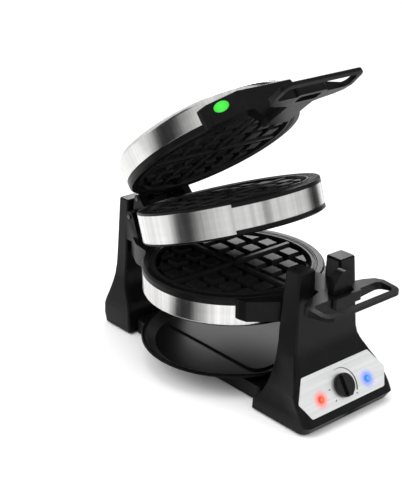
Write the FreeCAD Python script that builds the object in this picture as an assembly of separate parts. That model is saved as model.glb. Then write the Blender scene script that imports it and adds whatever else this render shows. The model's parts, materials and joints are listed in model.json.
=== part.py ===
import FreeCAD, Part
import math
import os

# Flip-over double waffle maker, millimetres, +Z up, front (dial and handles) towards -Y.
# Everything is drawn about the centre of the cooking plates, with the head shut. The head is then
# opened to the pose it is shown in, and the origin is set on the table under the middle of the length.

# Cooking head
RING_R = 103.5
BAND_T = 1.2
FLIP_Z = 140.0
MID_BAND_H = 31.2
MID_RIM_H = 2.4
PART_GAP = 0.4
RIM_H = 8.6
COVER_H = 23.9
DOME_H = 3.0
DOME_FALL = 6.0
RIM_CHAMFER = 2.0
LEDGE_IN = 11.9
RIM_LEDGE_R = RING_R - LEDGE_IN
RIM_SKIRT = 4.0
RIM_SKIRT_T = 2.4
LEDGE_T = 2.6
FIT = 0.1

# Waffle plates
PLATE_CLEAR = 0.5
RIM_WIDTH = 9.0
PLATE_R = RING_R - RIM_WIDTH
PLATE_FLANGE = 4.5
PLATE_T = 14.0
PLATE_SINK = 0.4
PLATE_BORDER = 6.0
CAVITY_R = PLATE_R - PLATE_BORDER
CAVITY_FALL = 2.0
CAVITY_D = 10.5
POST_PITCH = 26.0
POST_FIRST = 18.2
POST_BASE = 19.5
POST_TOP = 16.0
POST_H = 8.4
DIVIDER_BASE = 8.5
DIVIDER_TOP = 5.0
DIVIDER_H = 9.4
MOAT_IN = 3.1
MOAT_R = PLATE_R - MOAT_IN
MOAT_W = 1.6
MOAT_D = 1.2

# Heaters, reflector pans, plate screws
HEATER_R = 60.0
HEATER_TUBE = 3.4
HEATER_SWEEP = 320.0
HEATER_SIT = 0.2
PAN_T = 0.8
PAN_CLEAR = 1.2
PAN_LIP = 2.3
PAN_FLANGE_R = RING_R - BAND_T - FIT - RIM_SKIRT_T - PAN_CLEAR
PAN_R = PAN_FLANGE_R - PAN_LIP
BOSS_R = 4.5
BOSS_AT = 27.0
SCREW_R = 1.6
SCREW_HEAD_R = 3.2
SCREW_HEAD_H = 2.0
SCREW_GRIP = 6.0
SCREW_PLAY = 0.2

# Front blocks, half journals and handles
BLOCK_IN = (67.3, RING_R - 24.5)
BLOCK_SIDE = (67.3, RING_R - 19.3)
BLOCK_CORNER = (65.0, RING_R - 10.0)
BLOCK_NOSE = (37.0, RING_R + 13.1)
BLOCK_LOW = FLIP_Z - 42.0
BLOCK_ROUND = 2.0
NECK_WEB = 15.0
GUARD_ROOM = 3.2
JOURNAL_R = 17.5
JOURNAL_GAP = 0.3
JOURNAL_END = RING_R + 46.5
HANDLE_HALF = 56.0
HANDLE_BACK = RING_R + 54.5
HANDLE_FRONT = RING_R + 96.5
HANDLE_BACK_R = 15.0
HANDLE_FRONT_R = 11.0
HANDLE_BAR = 10.0
HANDLE_H = 10.8
HANDLE_DROP = 2.6
HANDLE_DROP_FROM = RING_R + 70.5
WINDOW_BACK = RING_R + 68.5
WINDOW_R = 6.0
HANDLE_EDGE = 1.5
LENS_AT = (-54.0, FLIP_Z + 33.2)
LENS_HALF = (8.2, 5.4)
LENS_PROUD = 1.6
LENS_DEPTH = 5.0

# Latch paddle between the handles
LATCH_Y = -RING_R - 60.0
LATCH_T = 8.0
LATCH_HALF = 14.0
LATCH_LOW = FLIP_Z - 22.5
LATCH_HIGH = FLIP_Z + 24.0
LATCH_PIVOT_Z = FLIP_Z - 6.6
LATCH_PIN_R = 2.5
LATCH_SLOT_PLAY = 1.3
LATCH_LIP = 2.0
LATCH_LIP_H = 11.5
LATCH_CHEEK = 5.0

# Rear hinges and trunnion
MID_HINGE = (RING_R + 29.5, FLIP_Z + 6.0)
LID_HINGE = (RING_R + 18.5, FLIP_Z + 25.0)
MID_OPEN = 18.2
LID_OPEN = 21.4
PIN_R = 2.5
RUN = 0.06
KNUCKLE_R = 5.6
EAR_X = (38.0, 46.0)
MID_ARM_X = (27.0, 37.4)
LID_ARM_X = (15.8, 26.4)
YOKE_LOW = FLIP_Z - 43.0
YOKE_BACK = RING_R + 36.5
HUB_HALF = 13.0
TRUNNION_R = 10.0
TRUNNION_END = RING_R + 53.0

# Towers
PRONG_TOP = FLIP_Z + 23.0
PRONG_EDGE = 1.4
SLOT_HALF = 19.5
LINER_T = 1.5
TOWER_WALL = 3.0
HOLLOW_TOP = FLIP_Z - 28.0
SOLE_Z = 2.5
PANEL_FOOT = (-RING_R - 86.0, 12.0)
PANEL_LEAN = 33.0
NEAR_ROUND = 2.5
# Tower sections from the sole up: height, half width at the outer edge, half width at the edge
# towards the plates, how far that near edge and the outer edge (None: on the leaning panel) stand
# out from the steel ring, outer corner radius
FRONT_SECTIONS = [(2.5, 65.6, 66.0, 1.1, 79.5, 9.0),
                  (12.0, 67.0, 65.6, 1.5, None, 9.0),
                  (17.0, 67.2, 64.0, 3.5, None, 8.0),
                  (22.0, 67.4, 59.0, 7.7, None, 7.0),
                  (30.0, 67.4, 53.5, 9.9, None, 7.0),
                  (38.5, 66.4, 49.6, 11.1, None, 7.0),
                  (44.0, 63.4, 47.8, 11.9, None, 6.0),
                  (52.0, 58.6, 46.9, 13.7, None, 6.0),
                  (60.0, 54.0, 46.4, 15.3, None, 5.0),
                  (62.8, 52.4, 46.3, 15.7, None, 5.0),
                  (67.0, 50.0, 46.1, 16.3, 50.1, 4.0),
                  (73.0, 47.6, 45.9, 16.9, 46.8, 3.0),
                  (82.0, 45.9, 45.5, 17.5, 45.1, 2.5),
                  (95.0, 45.0, 45.0, 17.7, 44.7, 2.5),
                  (PRONG_TOP - PRONG_EDGE, 41.0, 41.0, 21.5, 42.5, 2.5),
                  (PRONG_TOP, 39.8, 39.8, 22.7, 41.3, 2.5)]
REAR_SECTIONS = [(2.5, 61.0, 61.0, 14.9, 68.1, 8.0),
                 (14.0, 62.0, 62.0, 14.9, 69.7, 8.0),
                 (26.0, 61.6, 61.8, 15.1, 68.7, 7.0),
                 (34.0, 59.6, 60.4, 17.1, 66.5, 6.0),
                 (40.0, 57.6, 58.4, 20.9, 64.7, 6.0),
                 (48.0, 54.8, 55.6, 27.5, 62.5, 5.0),
                 (55.0, 52.2, 52.8, 32.7, 61.1, 4.0),
                 (65.0, 48.8, 49.0, 37.1, 59.9, 3.0),
                 (78.0, 46.4, 46.4, 39.0, 59.1, 2.5),
                 (95.0, 45.0, 45.0, 39.0, 58.5, 2.5),
                 (PRONG_TOP - PRONG_EDGE, 41.0, 41.0, 39.0, 55.9, 2.5),
                 (PRONG_TOP, 39.8, 39.8, 40.2, 54.7, 2.5)]
LINER_Y = (-RING_R - 39.5, -RING_R - 23.5)
BUSH_Y = (RING_R + 40.0, RING_R + 54.0)
LINER_DROP = 3.0

# Base, tray and sole
SPINE_HALF = 52.0
SPINE_FRONT = -RING_R - 0.7
SPINE_BACK = RING_R + 14.3
SPINE_TOP = 20.0
SPINE_WALL = 2.6
SPINE_ROUND = 6.0
TRAY_OVER = 2.5
TRAY_R = RING_R + TRAY_OVER
TRAY_LIP_Z = 31.0
TRAY_FLOOR_Z = 22.0
TRAY_SLOPE = 15.0
TRAY_FLOOR_R = TRAY_R - TRAY_SLOPE
TRAY_T = 2.0
PLATEAU_HALF = 36.0
PLATEAU_Y = (-80.0, 84.0)
PLATEAU_H = 2.0
PLATEAU_ROUND = 16.0
SOLE_T = 2.0
FOOT_R = 8.0
FOOT_AT = [(48.0, -RING_R - 60.5), (44.0, RING_R + 47.5)]
SOLE_PLAY = 0.4
SOLE_ROUND = 6.5
SOLE_SCREW_L = 10.0
SOLE_HEAD_H = 1.4
BOSS_POST_R = 5.0
BOSS_POST_H = 12.0
VENT_W = 3.0
VENT_L = 28.0
VENT_Y = (-RING_R - 38.5, RING_R + 42.5)

# Control panel
PANEL_AT = (-RING_R - 70.1, 37.0)
PLATE_OUTLINE = [(50.0, 22.0), (64.8, -2.0), (54.8, -21.4)]
PLATE_STEEL_T = 1.2
PLATE_INLAY = 1.0
PLATE_ROUND = 3.0
KNOB_AT = (0.0, -2.4)
KNOB_R = 13.0
KNOB_H = 7.6
KNOB_FLOAT = 0.6
GRIP_W = 6.0
GRIP_H = 3.2
SPINDLE_R = 3.0
SPINDLE_PLAY = 0.5
BOARD_T = 1.6
BOARD_EDGE = 8.0
BOARD_STRIP = 4.0
LAMP_R = 3.4
LAMP_PROUD = 1.4
LAMPS = {"power_lens": (-35.2, -6.4), "ready_lens": (35.2, -6.4)}
LAMP_DEPTH = 7.0
STAT_HALF = (15.0, 12.0)
STAT_DEPTH = 17.0
CORD_Z = 17.0
CORD_R = 7.0
CORD_BORE = 3.4
GLAND_L = 14.0
GLAND_PROUD = 2.5

# Heights that handle blanks and their cutters span, well past the handles
BODY_Z = (FLIP_Z - 40.0, FLIP_Z + 40.0)
CUT_Z = (FLIP_Z - 50.0, FLIP_Z + 50.0)

V = FreeCAD.Vector
X_AXIS = V(1, 0, 0)
Y_AXIS = V(0, 1, 0)
Z_AXIS = V(0, 0, 1)


def face_of(points):
    """A flat face from a closed list of corner points."""
    corners = [V(*p) for p in points]
    return Part.Face(Part.makePolygon(corners + [corners[0]]))


def prism_x(points, x0, x1):
    """A (y, z) outline drawn out along X."""
    return face_of([(x0, y, z) for y, z in points]).extrude(V(x1 - x0, 0, 0))


def prism_y(points, y0, y1):
    """An (x, z) outline drawn out along Y."""
    return face_of([(x, y0, z) for x, z in points]).extrude(V(0, y1 - y0, 0))


def prism_z(points, z0, z1):
    """An (x, y) outline drawn out along Z."""
    return face_of([(x, y, z0) for x, y in points]).extrude(V(0, 0, z1 - z0))


def mirrored(points):
    """A half outline in +X, closed by its own mirror image."""
    return list(points) + [(-x, y) for x, y in reversed(points)]


def inset(points, wall):
    """A closed outline moved inwards by `wall`, corner by corner."""
    count = len(points)
    area = sum(points[i - 1][0] * points[i][1] - points[i][0] * points[i - 1][1] for i in range(count))
    turn = wall if area > 0 else -wall
    lines = []
    for (ax, ay), (bx, by) in zip(points, points[1:] + points[:1]):
        length = math.hypot(bx - ax, by - ay)
        nx, ny = -(by - ay) / length, (bx - ax) / length
        lines.append((nx, ny, nx * ax + ny * ay + turn))
    out = []
    for (a, b, c), (d, e, f) in zip(lines[-1:] + lines[:-1], lines):
        det = a * e - b * d
        out.append(((c * e - b * f) / det, (a * f - c * d) / det))
    return out


def box(x0, x1, y0, y1, z0, z1):
    return Part.makeBox(x1 - x0, y1 - y0, z1 - z0, V(x0, y0, z0))


def rod(radius, length, at, along):
    return Part.makeCylinder(radius, length, V(*at), along)


def revolved(points, angle=360.0, start=0.0):
    """An (r, z) outline turned about the Z axis."""
    ring = face_of([(r, 0, z) for r, z in points]).revolve(V(0, 0, 0), Z_AXIS, angle)
    ring.rotate(V(0, 0, 0), Z_AXIS, start)
    return ring


def joined(first, *rest):
    return first.fuse(list(rest)).removeSplitter()


def less(first, *rest):
    return first.cut(list(rest))


def moved(shape, x, y, z):
    copy = shape.copy()
    copy.translate(V(x, y, z))
    return copy


def eased(shape, radius, wanted):
    """The shape with the edges picked by `wanted` rounded."""
    edges = [e for e in shape.Edges if wanted(e)]
    return shape.makeFillet(radius, edges) if edges else shape


def upright(edge):
    box_ = edge.BoundBox
    return box_.ZLength > 1.0 and box_.XLength < 0.01 and box_.YLength < 0.01


def rounded_block(x0, x1, y0, y1, z0, z1, radius):
    return eased(box(x0, x1, y0, y1, z0, z1), radius, upright)


def ring_room():
    """The space that the steel ring takes up, right through the head."""
    return Part.makeCylinder(RING_R + FIT, 2 * FLIP_Z, V(0, 0, 0))


def over(shape):
    """The mirror image on the far side of the flip axis."""
    return shape.mirror(V(0, 0, FLIP_Z), Z_AXIS)


# Heights of the shut stack, all taken from the flip axis
mid_low = FLIP_Z - MID_BAND_H / 2
mid_high = FLIP_Z + MID_BAND_H / 2
mid_rim_low = mid_low - MID_RIM_H
lower_top = mid_rim_low - PART_GAP
lower_band_top = lower_top - RIM_H
lower_band_low = lower_band_top - COVER_H
lower_bottom = lower_band_low - DOME_H
plate_face = lower_top - PLATE_SINK
plate_back = plate_face - PLATE_T
heater_z = plate_back - HEATER_SIT - HEATER_TUBE
pan_floor = heater_z - HEATER_TUBE - HEATER_SIT
ledge_z = plate_face - PLATE_FLANGE - FIT
neck_flat = FLIP_Z - JOURNAL_GAP
mid_plate_face = FLIP_Z + (FLIP_Z - (mid_rim_low + PLATE_SINK))
mid_boss = mid_plate_face - PLATE_T - FLIP_Z - FIT
pieces = {}


def waffle_plate(boss_length):
    """Cast plate, cavity upwards, cooking face at z = 0: cross ribs and four quarters of nine posts."""
    rim_r = RIM_LEDGE_R - 2 * FIT
    body = revolved([(0, -PLATE_T), (rim_r, -PLATE_T), (rim_r, -PLATE_FLANGE), (PLATE_R, -PLATE_FLANGE),
                     (PLATE_R, 0), (CAVITY_R, 0), (CAVITY_R - CAVITY_FALL, -CAVITY_D), (0, -CAVITY_D)])
    moat = revolved([(MOAT_R, -MOAT_D), (MOAT_R + MOAT_W, -MOAT_D), (MOAT_R + MOAT_W, 1), (MOAT_R, 1)])
    inner = Part.makeCylinder(CAVITY_R - CAVITY_FALL - 0.4, CAVITY_D, V(0, 0, -CAVITY_D))

    def frustum(x, y, bx, by, tx, ty, height):
        loops = []
        for hx, hy, z in ((bx / 2, by / 2, -CAVITY_D - 0.5), (tx / 2, ty / 2, height - CAVITY_D)):
            corners = [V(x + sx * hx, y + sy * hy, z) for sx, sy in ((-1, -1), (1, -1), (1, 1), (-1, 1))]
            loops.append(Part.makePolygon(corners + [corners[0]]))
        return Part.makeLoft(loops, True, True)

    keep = Part.makeCylinder(CAVITY_R - CAVITY_FALL - 3.5, PLATE_T, V(0, 0, -CAVITY_D - 0.5))
    steps = [POST_FIRST + POST_PITCH * i for i in range(3)]
    posts = []
    for sx in (-1, 1):
        for sy in (-1, 1):
            for px in steps:
                for py in steps:
                    post = frustum(sx * px, sy * py, POST_BASE, POST_BASE, POST_TOP, POST_TOP, POST_H)
                    if math.hypot(px + POST_BASE / 2, py + POST_BASE / 2) > CAVITY_R - CAVITY_FALL - 3.5:
                        post = post.common(keep)
                    if post.Volume > 400:
                        posts.append(post)
    long = 2 * (CAVITY_R - 0.5)
    ribs = [frustum(0, 0, long, DIVIDER_BASE, long, DIVIDER_TOP, DIVIDER_H),
            frustum(0, 0, DIVIDER_BASE, long, DIVIDER_TOP, long, DIVIDER_H)]
    wall = revolved([(0, -PLATE_T + 1), (CAVITY_R - CAVITY_FALL + 0.2, -PLATE_T + 1),
                     (CAVITY_R - CAVITY_FALL + 0.2, -CAVITY_D), (CAVITY_R + 0.2, 0), (0, 0)])
    ribs = [rib.common(wall) for rib in ribs]
    bosses = [rod(BOSS_R, boss_length + 1, (x, y, -PLATE_T - boss_length), Z_AXIS)
              for x in (-BOSS_AT, BOSS_AT) for y in (-BOSS_AT, BOSS_AT)]
    plate = less(joined(body, *(posts + ribs + bosses)), moat)
    return plate


def heater(z):
    """Tubular element, an open ring with two terminals turned down or up beside the gap."""
    ring = Part.makeTorus(HEATER_R, HEATER_TUBE, V(0, 0, z), Z_AXIS, -180, 180, HEATER_SWEEP)
    ring.rotate(V(0, 0, 0), Z_AXIS, 90 + (360 - HEATER_SWEEP) / 2)
    return ring


# Lower and lid housings: cover, rim, plate, heater and pan; the lid repeats the lower one upside down
def cover():
    r = RING_R
    return revolved([(0, lower_bottom), (r - DOME_FALL - 6, lower_bottom), (r - 3.2, lower_bottom + 1.4),
                     (r - 0.8, lower_band_low + 0.6), (r, lower_band_low + 3.4), (r, lower_band_top),
                     (r - BAND_T, lower_band_top), (r - BAND_T, lower_band_low + 3.6),
                     (r - BAND_T - 0.7, lower_band_low + 1.4), (r - 4.2, lower_bottom + 2.6),
                     (r - DOME_FALL - 6, lower_bottom + BAND_T), (0, lower_bottom + BAND_T)])


def rim():
    skirt = RING_R - BAND_T - FIT
    plate_seat = PLATE_R + PLATE_CLEAR
    skirt_in = skirt - RIM_SKIRT_T
    skirt_low = lower_band_top - RIM_SKIRT
    return revolved([(plate_seat, lower_top), (RING_R - RIM_CHAMFER, lower_top),
                     (RING_R, lower_top - RIM_CHAMFER - 0.4), (RING_R, lower_band_top + FIT),
                     (skirt, lower_band_top + FIT), (skirt, skirt_low), (skirt_in, skirt_low),
                     (skirt_in, lower_band_top),
                     (RIM_LEDGE_R, lower_band_top), (RIM_LEDGE_R, ledge_z), (plate_seat, ledge_z)])


def pan():
    top = lower_band_top - FIT
    dish = revolved([(0, pan_floor - PAN_T), (PAN_R - 2, pan_floor - PAN_T), (PAN_R, pan_floor + 1.2),
                     (PAN_R, top - PAN_T), (PAN_FLANGE_R, top - PAN_T), (PAN_FLANGE_R, top),
                     (PAN_R - PAN_T, top), (PAN_R - PAN_T, pan_floor + 1.5), (PAN_R - 2.3, pan_floor),
                     (0, pan_floor)])
    holes = [rod(SCREW_R + SCREW_PLAY, 4, (x, y, pan_floor - 2), Z_AXIS)
             for x in (-BOSS_AT, BOSS_AT) for y in (-BOSS_AT, BOSS_AT)]
    return less(dish, *holes)


def plate_screws():
    out = []
    for x in (-BOSS_AT, BOSS_AT):
        for y in (-BOSS_AT, BOSS_AT):
            low = pan_floor - PAN_T - SCREW_HEAD_H
            head = rod(SCREW_HEAD_R, SCREW_HEAD_H, (x, y, low), Z_AXIS)
            slot = box(x - SCREW_HEAD_R, x + SCREW_HEAD_R, y - 0.4, y + 0.4, low, low + 0.8)
            shank = rod(SCREW_R, PAN_T + SCREW_GRIP, (x, y, pan_floor - PAN_T), Z_AXIS)
            out.append(less(joined(head, shank), slot))
    return out


plate = waffle_plate(plate_back - pan_floor - FIT)
pilot = [rod(SCREW_R + FIT / 2, SCREW_GRIP + 2, (x, y, pan_floor - plate_face - 1), Z_AXIS)
         for x in (-BOSS_AT, BOSS_AT) for y in (-BOSS_AT, BOSS_AT)]
plate = moved(less(plate, *pilot), 0, 0, plate_face)
mid_plate = moved(waffle_plate(mid_boss), 0, 0, mid_plate_face)
screws = plate_screws()
pieces["lower_rim"] = rim()
pieces["lower_plate"] = plate
pieces["lower_heater"] = heater(heater_z)
pieces["lower_reflector"] = pan()
pieces["lower_plate_screws"] = Part.makeCompound(screws)
pieces["lid_rim"] = over(pieces["lower_rim"])
pieces["lid_plate"] = over(plate)
pieces["lid_heater"] = over(pieces["lower_heater"])
pieces["lid_reflector"] = over(pieces["lower_reflector"])
pieces["lid_plate_screws"] = Part.makeCompound([over(s) for s in screws])


# Middle housing: band, two rims that thicken at the front, two plates back to back on one heater
def mid_rim():
    skirt = RING_R - BAND_T - FIT
    seat = PLATE_R + PLATE_CLEAR
    top = mid_high + MID_RIM_H
    shelf = mid_plate_face - PLATE_FLANGE - FIT
    ring = revolved([(seat, top), (RING_R - 1.4, top), (RING_R, top - 1.4), (RING_R, mid_high + FIT),
                     (skirt, mid_high + FIT), (skirt, mid_high - RIM_SKIRT),
                     (RIM_LEDGE_R, mid_high - RIM_SKIRT), (RIM_LEDGE_R, shelf), (seat, shelf)])
    span = 2 * math.degrees(math.atan2(BLOCK_SIDE[0], BLOCK_SIDE[1]))
    guard = revolved([(RING_R - 1.0, mid_high + FIT), (RING_R - 1.0, top - 0.6), (RING_R + 1.1, top - 1.6),
                      (RING_R + 1.1, mid_high - 3.6), (RING_R + FIT, mid_high - 3.6),
                      (RING_R + FIT, mid_high + FIT)], span, -90 - span / 2)
    return joined(ring, guard)


pieces["middle_upper_rim"] = mid_rim()
pieces["middle_lower_rim"] = over(mid_rim())
pieces["middle_upper_plate"] = mid_plate
pieces["middle_lower_plate"] = over(mid_plate)
pieces["middle_heater"] = heater(FLIP_Z)


# Front blocks with their half journals
def front_block():
    low_half = [(x, -y) for x, y in (BLOCK_IN, BLOCK_SIDE, BLOCK_CORNER, BLOCK_NOSE)]
    body = prism_z(mirrored(low_half), BLOCK_LOW, lower_top)
    body = eased(body, BLOCK_ROUND, lambda e: upright(e) and e.BoundBox.YMin < -BLOCK_SIDE[1] + 0.1)
    nose = -BLOCK_NOSE[1]
    body = eased(body, BLOCK_ROUND, lambda e: e.BoundBox.ZMax < BLOCK_LOW + 0.1
                 and e.BoundBox.YMax < -BLOCK_IN[1] - 0.5)
    web = prism_y(mirrored([(JOURNAL_R, neck_flat), (JOURNAL_R, neck_flat - 6), (JOURNAL_R + 10, lower_top),
                            (JOURNAL_R + 10, lower_top - 8)]), nose, nose + NECK_WEB)
    half = rod(JOURNAL_R, JOURNAL_END + nose + 2, (0, -JOURNAL_END, FLIP_Z), Y_AXIS)
    half = half.common(box(-JOURNAL_R, JOURNAL_R, -JOURNAL_END, 0, FLIP_Z - JOURNAL_R, neck_flat))
    ring = ring_room()
    guard = Part.makeCylinder(RING_R + GUARD_ROOM, 40, V(0, 0, lower_top))
    return less(joined(body, web, half), ring, guard)


lower_block = front_block()
lid_block = over(front_block())


# Latch slot through the handles
latch_front = LATCH_Y - LATCH_T / 2
latch_back = LATCH_Y + LATCH_T / 2
slot_half = LATCH_HALF + LATCH_SLOT_PLAY
slot_front = latch_front - LATCH_LIP - LATCH_SLOT_PLAY
slot_back = latch_back + LATCH_SLOT_PLAY
slot = rounded_block(-slot_half, slot_half, slot_front, slot_back, *CUT_Z, 3.0)


# Handles: a flat loop growing out of the neck, its grip bar dropping away from the flip axis
def handle():
    plan = rounded_block(-HANDLE_HALF, HANDLE_HALF, -HANDLE_FRONT, -HANDLE_BACK, *BODY_Z,
                         HANDLE_FRONT_R)
    plan = less(plan, box(-HANDLE_HALF, HANDLE_HALF, -HANDLE_BACK - 20, -HANDLE_BACK + 1, *CUT_Z))
    back = prism_z(mirrored([(JOURNAL_R, -JOURNAL_END - FIT), (JOURNAL_R + 6, -JOURNAL_END - FIT - 3),
                             (HANDLE_HALF - HANDLE_BACK_R, -HANDLE_BACK),
                             (HANDLE_HALF - 4, -HANDLE_BACK - 6),
                             (HANDLE_HALF, -HANDLE_BACK - HANDLE_BACK_R),
                             (HANDLE_HALF, -HANDLE_BACK - 21)]), *BODY_Z)
    window = rounded_block(-HANDLE_HALF + HANDLE_BAR, HANDLE_HALF - HANDLE_BAR, -HANDLE_FRONT + HANDLE_BAR,
                           -WINDOW_BACK, *CUT_Z, WINDOW_R)
    cheek = slot_half + LATCH_CHEEK
    boss = rounded_block(-cheek, cheek, slot_front - LATCH_CHEEK, -WINDOW_BACK + 8, *CUT_Z, 3.0)
    window = less(window, boss)
    top = neck_flat
    side = prism_x([(-JOURNAL_END, top), (-HANDLE_DROP_FROM, top), (-HANDLE_FRONT, top - HANDLE_DROP),
                    (-HANDLE_FRONT, top - HANDLE_DROP - HANDLE_H + 2), (-HANDLE_DROP_FROM, top - HANDLE_H),
                    (-JOURNAL_END, top - HANDLE_H)], -HANDLE_HALF - 1, HANDLE_HALF + 1)
    return less(joined(plan, back), window).common(side)


# Fasteners that hold each handle to its half journal
def handle_screws():
    z = neck_flat - HANDLE_H / 2
    out = []
    for x in (-JOURNAL_R + 5.2, JOURNAL_R - 5.2):
        out.append(rod(SCREW_R, 14, (x, -JOURNAL_END - 3, z), Y_AXIS))
    return out


lower_handle = less(handle(), slot)
screw_holes = []
for centre in [s.BoundBox.Center for s in handle_screws()]:
    screw_holes.append(rod(SCREW_R + FIT / 2, 15, (centre.x, -JOURNAL_END - 3.5, centre.z), Y_AXIS))
lower_handle = less(lower_handle, *screw_holes)
lower_block = less(lower_block, *screw_holes)
lid_handle = over(lower_handle)
lid_block = over(lower_block)
bore_half = slot_half + LATCH_CHEEK + 2
pin_bore = rod(LATCH_PIN_R + FIT / 2, 2 * bore_half, (-bore_half, LATCH_Y, LATCH_PIVOT_Z), X_AXIS)
lower_handle = less(lower_handle, pin_bore)
pieces["lower_handle"] = lower_handle
pieces["lid_handle"] = lid_handle
pieces["lower_handle_screws"] = Part.makeCompound(handle_screws())
pieces["lid_handle_screws"] = Part.makeCompound([over(s) for s in handle_screws()])
pin_half = bore_half - 0.5
pieces["latch_pin"] = rod(LATCH_PIN_R, 2 * pin_half, (-pin_half, LATCH_Y, LATCH_PIVOT_Z), X_AXIS)


def latch_paddle():
    """Upright oval paddle with a lip along its top front edge."""
    mid = (LATCH_LOW + LATCH_HIGH) / 2
    oval = Part.Ellipse(V(0, 0, 0), (LATCH_HIGH - LATCH_LOW) / 2, LATCH_HALF).toShape()
    face = Part.Face(Part.Wire([oval]))
    plate_ = face.extrude(V(0, 0, LATCH_T))
    plate_.rotate(V(0, 0, 0), Z_AXIS, 90)
    plate_.rotate(V(0, 0, 0), X_AXIS, 90)
    plate_.translate(V(0, latch_back, mid))
    lip = face.extrude(V(0, 0, LATCH_LIP + 1))
    lip.rotate(V(0, 0, 0), Z_AXIS, 90)
    lip.rotate(V(0, 0, 0), X_AXIS, 90)
    lip.translate(V(0, latch_front + 1, mid))
    lip = lip.common(box(-30, 30, latch_front - 9, latch_front + 5,
                         LATCH_HIGH - LATCH_LIP_H, LATCH_HIGH + 5))
    whole = joined(plate_, lip)
    return less(whole, rod(LATCH_PIN_R + RUN, 60, (-30, LATCH_Y, LATCH_PIVOT_Z), X_AXIS))


pieces["handle_latch"] = latch_paddle()

# Lid lamp on the slanting left face of the lid block
slant = math.atan2(BLOCK_NOSE[1] - BLOCK_CORNER[1], BLOCK_CORNER[0] - BLOCK_NOSE[0])
lens_y = -BLOCK_CORNER[1] - (BLOCK_CORNER[0] + LENS_AT[0]) * math.tan(slant)
lens_out = V(-math.sin(slant), -math.cos(slant), 0)


def lens_block(grow, depth, proud):
    oval = Part.Ellipse(V(0, 0, 0), LENS_HALF[0] + grow, LENS_HALF[1] + grow).toShape()
    solid = Part.Face(Part.Wire([oval])).extrude(V(0, 0, depth + proud))
    solid.rotate(V(0, 0, 0), X_AXIS, 90)
    solid.rotate(V(0, 0, 0), Z_AXIS, -math.degrees(slant))
    start = V(LENS_AT[0], lens_y, LENS_AT[1]) - lens_out * depth
    solid.translate(start)
    return solid


lid_block = less(lid_block, lens_block(FIT, LENS_DEPTH, 5))
lens = lens_block(0, LENS_DEPTH - FIT, LENS_PROUD)
pieces["lid_lens"] = lens
pieces["lower_front_block"] = lower_block
pieces["lid_front_block"] = lid_block

# Rear yoke on the lower housing with the trunnion, ears and hub for the middle hinge
mid_y, mid_z = MID_HINGE
lid_y, lid_z = LID_HINGE
yoke_plan = mirrored([(EAR_X[1] + 14, RING_R - 19.5), (EAR_X[1] + 10, RING_R + 4.5),
                      (EAR_X[1], YOKE_BACK - 12), (EAR_X[1] - 6, YOKE_BACK)])
yoke = prism_z(yoke_plan, YOKE_LOW, lower_top)
ear_shape = [(RING_R + 8.5, lower_top - 6), (YOKE_BACK, lower_top - 6), (YOKE_BACK, mid_z),
             (mid_y + 4, mid_z + 6), (mid_y - 4, mid_z + 6), (mid_y - 8, mid_z),
             (RING_R + 14.5, lower_top + 4)]
ears = [prism_x(ear_shape, x0, x1) for x0, x1 in (EAR_X, (-EAR_X[1], -EAR_X[0]))]
hub_top = FLIP_Z + TRUNNION_R + 2
hub = prism_x([(RING_R + 17.5, lower_top - 6), (YOKE_BACK, lower_top - 6), (YOKE_BACK, hub_top),
               (mid_y - 5, hub_top), (RING_R + 22.5, FLIP_Z - 4)], -HUB_HALF, HUB_HALF)
trunnion = rod(TRUNNION_R, TRUNNION_END - YOKE_BACK + 4, (0, YOKE_BACK - 4, FLIP_Z), Y_AXIS)
yoke = joined(yoke, trunnion, hub, *ears)
mid_pin_half = EAR_X[1] + 1.5
pin_hole = rod(PIN_R + FIT / 2, 200, (-100, mid_y, mid_z), X_AXIS)
yoke = less(yoke, pin_hole, ring_room())
pieces["rear_yoke"] = yoke
pieces["middle_hinge_pin"] = rod(PIN_R, 2 * mid_pin_half, (-mid_pin_half, mid_y, mid_z), X_AXIS)

# Middle hinge arms, joined by a bracket round the back of the band; they also hold the lid pin
arm_foot = RING_R - 6
arm_shape = [(arm_foot, mid_low + 1), (mid_y - 10, mid_low + 5), (mid_y, mid_z - KNUCKLE_R),
             (mid_y + 4.4, mid_z - 3.4), (mid_y + 5.4, mid_z + 1.0), (mid_y + 3, mid_z + 4.6),
             (lid_y + KNUCKLE_R, lid_z + 1), (lid_y + 3, lid_z + 4.8), (lid_y - 3, lid_z + 4.8),
             (lid_y - KNUCKLE_R, lid_z - 1), (mid_y - 22, mid_high - 3), (arm_foot, mid_high - 3)]
arms = [prism_x(arm_shape, x0, x1) for x0, x1 in (MID_ARM_X, (-MID_ARM_X[1], -MID_ARM_X[0]))]
strap = revolved([(RING_R + FIT, mid_low + 2), (RING_R + 3.4, mid_low + 2), (RING_R + 3.4, mid_high - 4),
                  (RING_R + FIT, mid_high - 4)], 56, 62)
bracket = joined(strap, *arms)
bracket = less(bracket, ring_room())
bracket = less(bracket, rod(PIN_R + RUN, 200, (-100, mid_y, mid_z), X_AXIS))
bracket = less(bracket, rod(PIN_R + FIT / 2, 200, (-100, lid_y, lid_z), X_AXIS))
pieces["middle_hinge_arm"] = bracket
lid_pin_half = MID_ARM_X[1] + 1.2
pieces["lid_hinge_pin"] = rod(PIN_R, 2 * lid_pin_half, (-lid_pin_half, lid_y, lid_z), X_AXIS)

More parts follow.
